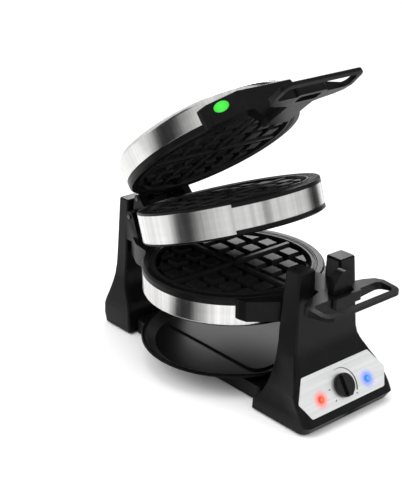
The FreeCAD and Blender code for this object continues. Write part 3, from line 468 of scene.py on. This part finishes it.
def keep(bm, name, body, material):
    """Turns a bmesh into a piece of the object that rides on a body."""
    mesh = bpy.data.meshes.new(name)
    bm.to_mesh(mesh)
    bm.free()
    smooth_mesh(mesh)
    mesh.materials.clear()
    mesh.materials.append(material)
    piece = bpy.data.objects.new(name, mesh)
    bpy.context.scene.collection.objects.link(piece)
    even = piece.modifiers.new("even_shading", "WEIGHTED_NORMAL")
    even.keep_sharp = True
    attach(piece, body)
    return piece


def ease(node, width, material, angle=HARD_ANGLE, shape=None):
    """A copy of a CAD node with its hard edges rounded over, which stands for the node."""
    bm = bmesh.new()
    bm.from_mesh(NODES[node].data)
    bmesh.ops.remove_doubles(bm, verts=bm.verts, dist=WELD)
    if shape:
        shape(bm)
    bmesh.ops.dissolve_limit(bm, angle_limit=math.radians(FLAT_ANGLE), verts=bm.verts, edges=bm.edges)
    sharp = math.radians(angle)
    hard = [edge for edge in bm.edges if edge.is_manifold and edge.calc_face_angle(0.0) > sharp]
    bmesh.ops.bevel(bm, geom=hard, offset=width, offset_type="OFFSET", affect="EDGES", segments=2,
                    profile=0.5, clamp_overlap=True, material=-1)
    piece = keep(bm, node + "_eased", BODY_OF[node], material)
    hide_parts(node)


class WAFFLE_OT_base(bpy.types.Operator):
    """Towers, spine, tray, sole and feet"""
    bl_idname = "waffle.base"
    bl_label = "Base"

    def execute(self, context):
        plastic = plastic_finish()
        for node in ("front_tower", "rear_tower", "base_spine"):
            ease(node, sizes().edge, plastic)
        ease("drip_tray", sizes().fine_edge, tray_finish())
        dress("sole_plate", plastic)
        for node in ("front_cradle_liner", "rear_bush"):
            dress(node, dull_finish(node + "_finish", (0.02, 0.02, 0.021), 0.35))
        rubber = dull_finish("rubber", (0.02, 0.02, 0.02), 0.7)
        for node in ("rubber_feet", "cord_gland"):
            ease(node, sizes().fine_edge, rubber)
        dress("sole_screws", metal_finish("zinc_screws", (0.62, 0.62, 0.60), 0.3))
        return {"FINISHED"}


class WAFFLE_OT_head(bpy.types.Operator):
    """Steel covers and band with their black rims, front blocks and hinge arms"""
    bl_idname = "waffle.head"
    bl_label = "Cooking head"

    def execute(self, context):
        middle = math.radians(JOINTS["middle_hinge"]["range_deg"][1])
        lid = middle + math.radians(JOINTS["lid_hinge"]["range_deg"][1])
        for node, tilt, closed_end in (("lower_cover", 0.0, min), ("middle_band", -middle, None),
                                       ("lid_cover", -lid, max)):
            upright = Matrix.Rotation(-tilt, 3, "X")
            heights = [(upright @ vert.co).z for vert in NODES[node].data.vertices]
            dome = closed_end(heights) if closed_end else None
            ease(node, sizes().fine_edge, steel_finish(node + "_steel", tilt, dome), CREASE_ANGLE)
        plastic = plastic_finish()
        for node in ("lower_rim", "middle_upper_rim", "middle_lower_rim", "lid_rim"):
            ease(node, sizes().fine_edge, plastic)
        for node in ("lower_front_block", "lid_front_block", "rear_yoke", "middle_hinge_arm",
                     "lid_hinge_arms"):
            ease(node, sizes().edge, plastic)
        return {"FINISHED"}


class WAFFLE_OT_plates(bpy.types.Operator):
    """Waffle plates, the inner pieces behind them, and the screws and pins"""
    bl_idname = "waffle.plates"
    bl_label = "Waffle plates"

    def execute(self, context):
        coat = coating_finish()
        for node in ("lower_plate", "middle_upper_plate", "middle_lower_plate", "lid_plate"):
            ease(node, sizes().edge, coat, CREASE_ANGLE)
        element = metal_finish("element_tube", (0.30, 0.28, 0.26), 0.4)
        for node in ("lower_heater", "middle_heater", "lid_heater"):
            dress(node, element)
        pan = metal_finish("reflector_pan", (0.78, 0.78, 0.79), 0.25)
        for node in ("lower_reflector", "lid_reflector"):
            dress(node, pan)
        pins = metal_finish("pins", (0.09, 0.09, 0.092), 0.3)
        for node in ("lower_plate_screws", "lid_plate_screws", "lower_handle_screws", "lid_handle_screws",
                     "latch_pin", "middle_hinge_pin", "lid_hinge_pin"):
            dress(node, pins)
        return {"FINISHED"}


class WAFFLE_OT_handles(bpy.types.Operator):
    """Loop handles and the latch between them"""
    bl_idname = "waffle.handles"
    bl_label = "Handles"

    def execute(self, context):
        plastic = plastic_finish()
        ease("handle_latch", sizes().latch_edge, plastic)
        axle = Vector(JOINTS["head_flip"]["pos_m"]).z
        over = Matrix.Translation((0, 0, 2 * axle)) @ Matrix.Diagonal((1, 1, -1, 1))
        for node, shut in (("lower_handle", Matrix()), ("lid_handle", over @ shut_lid())):
            thinned = partial(self.slim, axle, shut, *THINNING[node])
            ease(node, sizes().grip_edge, plastic, CREASE_ANGLE, thinned)
        return {"FINISHED"}

    def slim(self, axle, shut, tail, fade, bm):
        """Thins the bars from below as deep as `tail`, and widens the window in the loop.

        `shut` lays the handle on the lower one's place, so that one set of places fits both."""
        back = shut.inverted()
        front = min(vert.co.y for vert in NODES["lower_handle"].data.vertices)
        for vert in bm.verts:
            place = shut @ vert.co
            depth = place.y - front
            reach = abs(place.x)
            aside = portion(reach - BOSS_REACH, BOSS_BLEND) * portion(tail - depth, fade)
            ahead = portion(GRIP_DEPTH - depth, GRIP_BLEND)
            if place.z < axle - UNDERSIDE:
                place.z += sizes().bar_lift * max(aside, ahead)
            beside = WINDOW_REACH[0] < reach < WINDOW_REACH[1]
            if beside and WINDOW_DEPTH[0] < depth < WINDOW_DEPTH[1]:
                place.x += math.copysign(sizes().bar_trim, place.x)
                if depth < WINDOW_MIDDLE:
                    place.y -= sizes().bar_trim
            vert.co = back @ place


class WAFFLE_OT_panel(bpy.types.Operator):
    """Control plate, dial, printed marks and lamps"""
    bl_idname = "waffle.panel"
    bl_label = "Control panel"

    def execute(self, context):
        ease("control_plate", sizes().fine_edge, panel_finish())
        ease("control_knob", sizes().fine_edge, knob_finish())
        dress("lamp_board", dull_finish("board_varnish", (0.03, 0.16, 0.07), 0.35))
        dress("thermostat", dull_finish("thermostat_case", (0.5, 0.48, 0.42), 0.4))
        tints = finishes()
        self.lens("power_lens", tints.red, tints.red_core, self.on_plate("power_lens"), LENS_REACH)
        self.lens("ready_lens", tints.blue, tints.blue_core, self.on_plate("ready_lens"), LENS_REACH)
        self.lens("lid_lens", tints.green, tints.green_core, self.centre("lid_lens"), LID_LENS_REACH)
        self.glow("power_lens", tints.red)
        self.glow("ready_lens", tints.blue)
        self.marks()
        return {"FINISHED"}

    def outward(self):
        return Vector(JOINTS["dial_turn"]["axis"]).normalized()

    def centre(self, node):
        low, high = (Vector(corner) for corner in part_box(node))
        return (low + high) / 2

    def on_plate(self, node):
        """Middle of a round piece of the panel, brought down onto the plate's face."""
        normal = self.outward()
        middle = self.centre(node)
        face = max(vert.co.dot(normal) for vert in NODES["control_plate"].data.vertices)
        return middle + normal * (face - middle.dot(normal))

    def laid(self, middle):
        """The turn and place that lay a flat shape on the panel round a middle."""
        across = Vector((1, 0, 0))
        normal = self.outward()
        turn = Matrix((across, normal.cross(across), normal)).transposed().to_4x4()
        return Matrix.Translation(middle) @ turn

    def lens(self, node, tint, core, middle, reach):
        ease(node, sizes().lens_edge, lamp_finish(node + "_lit", tuple(tint), tuple(core), middle, reach))

    def glow(self, node, tint):
        """A flat disc of light round a lamp of the panel."""
        middle = self.on_plate(node) + self.outward() * GLOW_LIFT
        spill = glow_finish(node + "_spill", tuple(tint), middle, sizes().glow)
        bm = bmesh.new()
        bmesh.ops.create_circle(bm, cap_ends=True, segments=GLOW_SIDES, radius=sizes().glow,
                                matrix=self.laid(middle))
        keep(bm, node.replace("lens", "glow"), "base", spill)

    def marks(self):
        """The tapered arc and the ticks printed round the dial."""
        bm = bmesh.new()
        self.arc(bm)
        for angle in TICKS:
            self.tick(bm, math.radians(angle))
        normal = self.outward()
        middle = self.on_plate("control_knob") + normal * MARK_LIFT
        bmesh.ops.transform(bm, matrix=self.laid(middle), verts=bm.verts)
        bm.normal_update()
        inward = [face for face in bm.faces if face.normal.dot(normal) < 0]
        bmesh.ops.reverse_faces(bm, faces=inward)
        ink = dull_finish("dial_ink", tuple(finishes().mark), 0.5)
        keep(bm, "dial_marks", "base", ink)

    def arc(self, bm):
        """A short edge spun round the dial, then narrowed towards its start."""
        radius = sizes().arc_radius
        width = sizes().arc_width
        sweep = math.radians(ARC_END - ARC_START)
        ends = [bm.verts.new((radius + side * width, 0, 0)) for side in (-1, 1)]
        bmesh.ops.spin(bm, geom=[*ends, bm.edges.new(ends)], axis=(0, 0, 1), cent=(0, 0, 0), angle=sweep,
                       steps=ARC_STEPS)
        for vert in bm.verts:
            along = math.atan2(vert.co.y, vert.co.x) / sweep
            half = width * (ARC_THIN + (ARC_THICK - ARC_THIN) * along)
            vert.co *= (radius + math.copysign(half, vert.co.length - radius)) / vert.co.length
        bmesh.ops.rotate(bm, verts=bm.verts, matrix=Matrix.Rotation(math.radians(ARC_START), 3, "Z"))

    def tick(self, bm, angle):
        size = sizes()
        stroke = Matrix.Diagonal((size.tick_length, size.tick_width, 1, 1))
        out = Matrix.Translation((size.arc_radius + size.tick_out, 0, 0))
        bmesh.ops.create_grid(bm, x_segments=1, y_segments=1, size=0.5,
                              matrix=Matrix.Rotation(angle, 4, "Z") @ out @ stroke)


class WAFFLE_OT_stage(bpy.types.Operator):
    """Floor, soft light, dark cards for the steel to mirror, and the camera"""
    bl_idname = "waffle.stage"
    bl_label = "Stage"

    azimuth: FloatProperty(name="Azimuth", description="Camera's turn from the front, minus to the left",
                           default=math.radians(-40.2), subtype="ANGLE")
    elevation: FloatProperty(name="Elevation", description="Camera's height above the level",
                             default=math.radians(22.5), subtype="ANGLE")
    distance: FloatProperty(name="Distance", description="From the camera to the point it looks at",
                            default=1.301, unit="LENGTH")
    lens: FloatProperty(name="Lens", description="Focal length of the camera", default=80.14, unit="CAMERA")

    def execute(self, context):
        scene = context.scene
        scene.view_settings.view_transform = "Standard"
        self.camera(scene)
        self.floor()
        self.world(scene)
        for name, values in LIGHTS.items():
            self.light(name, *values)
        for name, (height, *angles) in CARDS.items():
            self.card(name, height, *(math.radians(angle) for angle in angles))
        return {"FINISHED"}

    def toward(self, azimuth, elevation):
        return Vector((math.sin(azimuth) * math.cos(elevation), -math.cos(azimuth) * math.cos(elevation),
                       math.sin(elevation)))

    def aim(self, thing, target, back, distance):
        """Stands a camera or a light off along `back` from the point that it faces."""
        thing.location = target + back * distance
        thing.rotation_euler = back.to_track_quat("Z", "Y").to_euler()
        bpy.context.scene.collection.objects.link(thing)

    def show(self, bm, name, material):
        """Turns a bmesh into a piece of the stage."""
        mesh = bpy.data.meshes.new(name)
        bm.to_mesh(mesh)
        bm.free()
        mesh.materials.append(material)
        thing = bpy.data.objects.new(name, mesh)
        bpy.context.scene.collection.objects.link(thing)
        return thing

    def camera(self, scene):
        data = bpy.data.cameras.new("photo_camera")
        data.sensor_fit = "VERTICAL"
        data.sensor_height = SENSOR_HEIGHT
        data.lens = self.lens
        data.clip_end = VIEW_END
        scene.camera = bpy.data.objects.new("photo_camera", data)
        self.aim(scene.camera, CAMERA_AIM, self.toward(self.azimuth, self.elevation), self.distance)

    def floor(self):
        paper = Finish("floor_paper", Roughness=0.9)
        pale = tuple(finishes().floor)
        paper.set(Base_Color=paper.mix(paper.noise(3.0, 2.0) * 0.2, pale, darker(pale, 0.985)))
        bm = bmesh.new()
        bmesh.ops.create_grid(bm, x_segments=1, y_segments=1, size=FLOOR_HALF)
        self.show(bm, "floor", paper.material)

    def world(self, scene):
        """Even white all round, the same to the camera, to gloss and as light."""
        scene.world = bpy.data.worlds.new("studio")
        scene.world.use_nodes = True
        nodes = scene.world.node_tree.nodes
        nodes.clear()
        white = nodes.new("ShaderNodeBackground")
        white.inputs["Color"].default_value = (1, 1, 1, 1)
        white.inputs["Strength"].default_value = 1.0
        output = nodes.new("ShaderNodeOutputWorld")
        scene.world.node_tree.links.new(white.outputs[0], output.inputs[0])

    def light(self, name, azimuth, elevation, distance, size, power):
        """A soft square light. The rim light shows only as gloss, and the others only as soft light."""
        data = bpy.data.lights.new(name, "AREA")
        data.size = size
        data.energy = power
        lamp = bpy.data.objects.new(name, data)
        lamp.visible_camera = False
        lamp.visible_glossy = name == "rim"
        lamp.visible_diffuse = name != "rim"
        self.aim(lamp, LIGHT_AIM, self.toward(math.radians(azimuth), math.radians(elevation)), distance)

    def card(self, name, height, start, end, soft_start, soft_end):
        """A dark curved card, floor strip and wall in one, that only gloss sees."""
        spread = end - start
        middle = self.azimuth - math.pi / 2 + (start + end) / 2
        felt = Finish(name + "_felt", Roughness=1.0)
        turn = (0, 0, middle)
        angle = felt.axis("Y", turn).angle_over(felt.axis("X", turn))
        rise = (spread / 2 + angle) / soft_start
        fall = (spread / 2 - angle) / soft_end
        felt.set(Base_Color=felt.mix(felt.noise(40.0), (0.006, 0.006, 0.007), (0.012, 0.012, 0.013)),
                 Alpha=rise.lesser(fall).clamped())
        bm = bmesh.new()
        corners = ((CARD_NEAR, 0, CARD_LIFT), (CARD_FAR, 0, CARD_LIFT), (CARD_FAR, 0, height))
        line = [bm.verts.new(corner) for corner in corners]
        edges = [bm.edges.new(pair) for pair in zip(line, line[1:])]
        bmesh.ops.rotate(bm, verts=bm.verts, matrix=Matrix.Rotation(middle - spread / 2, 3, "Z"))
        bmesh.ops.spin(bm, geom=line + edges, axis=(0, 0, 1), cent=(0, 0, 0), angle=spread, steps=CARD_STEPS)
        card = self.show(bm, name, felt.material)
        card.visible_camera = False
        card.visible_diffuse = False
        card.visible_shadow = False


OPERATORS = (WAFFLE_OT_base, WAFFLE_OT_head, WAFFLE_OT_plates, WAFFLE_OT_handles, WAFFLE_OT_panel,
             WAFFLE_OT_stage)


class WAFFLE_PT_sidebar(bpy.types.Panel):
    """Lists the steps that dress the waffle maker, and its colours and sizes"""
    bl_idname = "WAFFLE_PT_sidebar"
    bl_label = "Waffle Maker"
    bl_space_type = "VIEW_3D"
    bl_region_type = "UI"
    bl_category = "Waffle Maker"

    def draw(self, context):
        for operator in OPERATORS:
            self.layout.operator(operator.bl_idname)
        for group in (context.scene.waffle_finish, context.scene.waffle_size):
            for name in group.__annotations__:
                self.layout.prop(group, name)


CLASSES = (WAFFLE_PG_finish, WAFFLE_PG_size, *OPERATORS, WAFFLE_PT_sidebar)


def register():
    for cls in CLASSES:
        bpy.utils.register_class(cls)
    bpy.types.Scene.waffle_finish = PointerProperty(type=WAFFLE_PG_finish)
    bpy.types.Scene.waffle_size = PointerProperty(type=WAFFLE_PG_size)


def unregister():
    del bpy.types.Scene.waffle_size
    del bpy.types.Scene.waffle_finish
    for cls in reversed(CLASSES):
        bpy.utils.unregister_class(cls)


def main():
    register()
    bpy.ops.waffle.base()
    bpy.ops.waffle.head()
    bpy.ops.waffle.plates()
    bpy.ops.waffle.handles()
    bpy.ops.waffle.panel()
    bpy.ops.waffle.stage()


if __name__ == "__main__":
    main()
